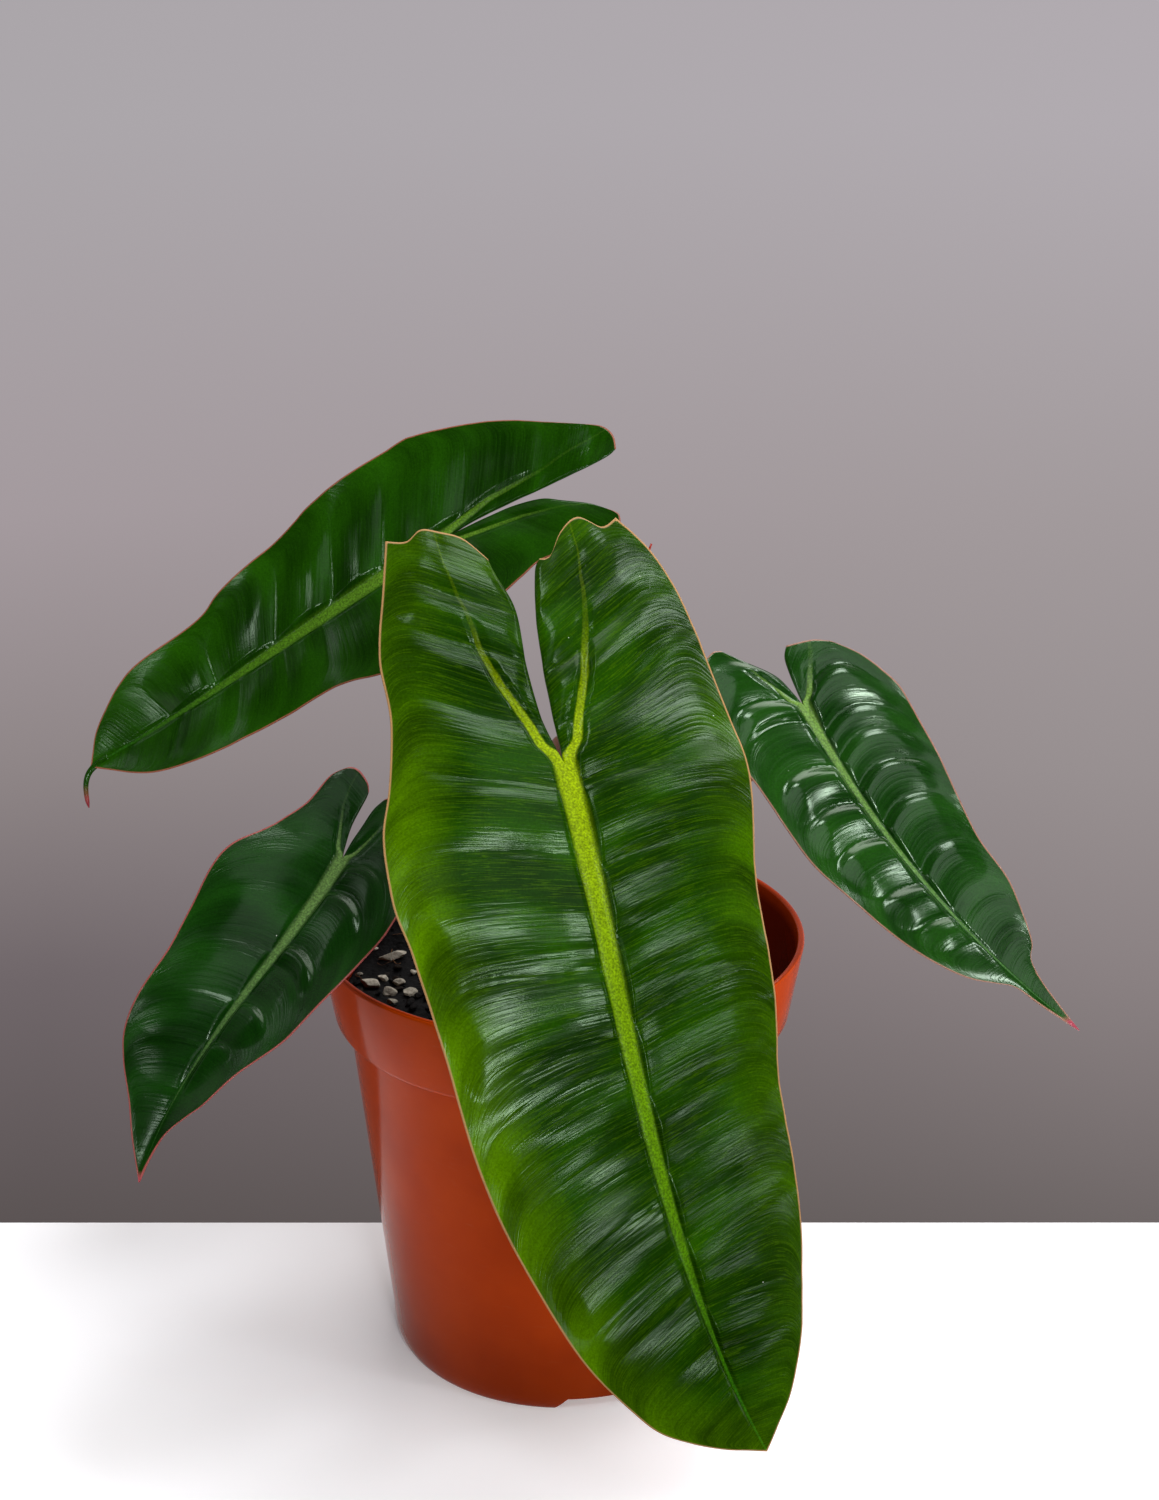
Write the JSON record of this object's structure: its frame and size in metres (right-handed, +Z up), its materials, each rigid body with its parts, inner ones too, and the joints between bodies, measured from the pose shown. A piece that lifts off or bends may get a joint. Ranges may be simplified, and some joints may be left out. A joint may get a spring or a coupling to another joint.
{
  "type": "potted philodendron billietiae",
  "caption": "Young philodendron with long heart-lobed strap leaves on orange-brown stalks, planted in a tapered plastic nursery pot with a rim band.",
  "frame": {"origin": "centre of the pot's base, on the surface that the pot stands on", "axes": "+Z up along the pot's axis; -Y towards the side that the largest leaf hangs over, which faces the viewer; +X to the viewer's right"},
  "size_m": [0.2387, 0.2091, 0.2316],
  "materials": {
    "terracotta_plastic": "terracotta-coloured injection-moulded polypropylene, satin",
    "potting_mix": "damp, near-black mix of composted bark and coco fibre with off-white perlite",
    "stem_skin": "ringed tan-brown skin, matt",
    "petiole": "fleshy orange-brown leaf stalk with pale flecks, satin",
    "leaf": "waxy dark green leaf with lime-green ribs, glossy",
    "new_leaf": "rolled red young leaf, satin",
    "sheath": "thin drying red-brown sheath, satin"
  },
  "bodies": {
    "root": {"pot": "terracotta_plastic", "potting_mix": "potting_mix", "stem": "stem_skin", "petiole_front": "petiole", "blade_front": "leaf", "petiole_right": "petiole", "blade_right": "leaf", "petiole_left": "petiole", "blade_left": "leaf", "petiole_back": "petiole", "blade_back": "leaf", "new_leaf": "new_leaf", "sheath": "sheath"}
  },
  "joints": []
}
